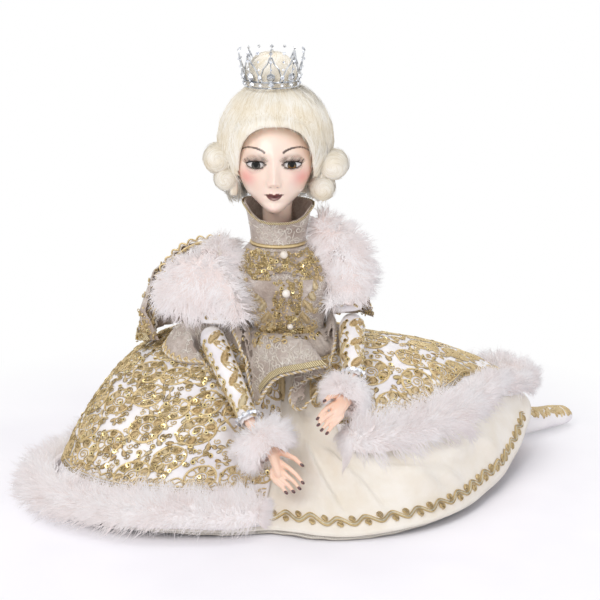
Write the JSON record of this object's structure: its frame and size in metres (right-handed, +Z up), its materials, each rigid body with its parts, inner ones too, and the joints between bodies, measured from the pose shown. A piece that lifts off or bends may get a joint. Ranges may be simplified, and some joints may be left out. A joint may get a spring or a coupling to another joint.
{
  "type": "sitting lady doll",
  "caption": "Seated collector's doll in a fur-trimmed court gown, with a swivel head, hinged arms, a free lower leg and an openwork crown on an upswept wig.",
  "frame": {"origin": "on the floor under the waist, on the flat seat of the stuffed body", "axes": "+Z up, -Y the way the doll faces, +X to the doll's left"},
  "size_m": [0.4632, 0.3209, 0.3504],
  "materials": {
    "calico": "plain woven cotton over stuffing",
    "porcelain": "bisque with a soft sheen",
    "steel": "bright drawn",
    "felt": "pressed felt",
    "brocade": "taupe woven figure with pale scrolls",
    "braid": "gold metallic braid",
    "gold_lace": "gold bullion lace with sequins",
    "pearl": "pearly",
    "satin": "white satin with gold lace and sequins",
    "fur": "long soft pile",
    "cream_cloth": "soft cream satin",
    "stiff_net": "stiffened net",
    "shoe_cloth": "white satin with gold braid",
    "hair": "creamy white mohair",
    "silver_wire": "polished wire with clear stones",
    "eye_glass": "clear over a dark iris",
    "lash": "dark fibre"
  },
  "bodies": {
    "body": {"cloth_body": "calico", "shoulder_plate": "porcelain", "neck_bolt": "steel", "neck_spring": "steel", "neck_felt": "felt", "bodice": "brocade", "collar": "brocade", "collar_braid": "braid", "yoke_lace": "gold_lace", "front_lace": "gold_lace", "pearl_1": "pearl", "pearl_2": "pearl", "pearl_3": "pearl", "peplum": "brocade", "peplum_braid": "braid", "overskirt": "satin", "hem_fur": "fur", "underskirt": "cream_cloth", "hem_braid": "braid", "petticoat": "stiff_net", "wing_sleeve_right": "brocade", "wing_braid_right": "braid", "thigh_right": "calico", "wing_sleeve_left": "brocade", "wing_braid_left": "braid", "thigh_left": "calico", "shin_right": "porcelain", "shoe_right": "shoe_cloth"},
    "head": {"head": "porcelain", "wig_cap": "hair", "wig_bun": "hair", "wig_back": "hair", "crown": "silver_wire", "eye_right": "eye_glass", "lash_right": "lash", "eye_left": "eye_glass", "lash_left": "lash", "curl_right_upper": "hair", "curl_right_lower": "hair", "curl_left_upper": "hair", "curl_left_lower": "hair"},
    "arm_right": {"upper_arm_right": "calico", "upper_sleeve_right": "satin", "shoulder_fur_right": "fur"},
    "forearm_right": {"forearm_right": "porcelain", "lower_sleeve_right": "satin", "bracelet_right": "silver_wire", "cuff_fur_right": "fur"},
    "arm_left": {"upper_arm_left": "calico", "upper_sleeve_left": "satin", "shoulder_fur_left": "fur"},
    "forearm_left": {"forearm_left": "porcelain", "lower_sleeve_left": "satin", "bracelet_left": "silver_wire", "cuff_fur_left": "fur"},
    "lower_leg_left": {"shin_left": "porcelain", "shoe_left": "shoe_cloth"}
  },
  "joints": [
    {"name": "head_turn", "type": "hinge", "parent": "body", "child": "head", "pos_m": [0.002, -0.002, 0.2115], "axis": [0, 0, 1], "range_deg": [-20, 20]},
    {"name": "shoulder_right", "type": "hinge", "parent": "body", "child": "arm_right", "pos_m": [-0.045, -0.005, 0.187], "axis": [-1, 0, 0], "range_deg": [0, 25]},
    {"name": "elbow_right", "type": "hinge", "parent": "arm_right", "child": "forearm_right", "pos_m": [-0.049, -0.027, 0.126], "axis": [-1, 0, 0], "range_deg": [0, 30]},
    {"name": "shoulder_left", "type": "hinge", "parent": "body", "child": "arm_left", "pos_m": [0.052, -0.005, 0.186], "axis": [-1, 0, 0], "range_deg": [0, 25]},
    {"name": "elbow_left", "type": "hinge", "parent": "arm_left", "child": "forearm_left", "pos_m": [0.061, -0.018, 0.134], "axis": [-1, 0, 0], "range_deg": [0, 30]},
    {"name": "knee_left", "type": "hinge", "parent": "body", "child": "lower_leg_left", "pos_m": [0.136, -0.016, 0.053], "axis": [0, 0, 1], "range_deg": [-5, 5]}
  ]
}
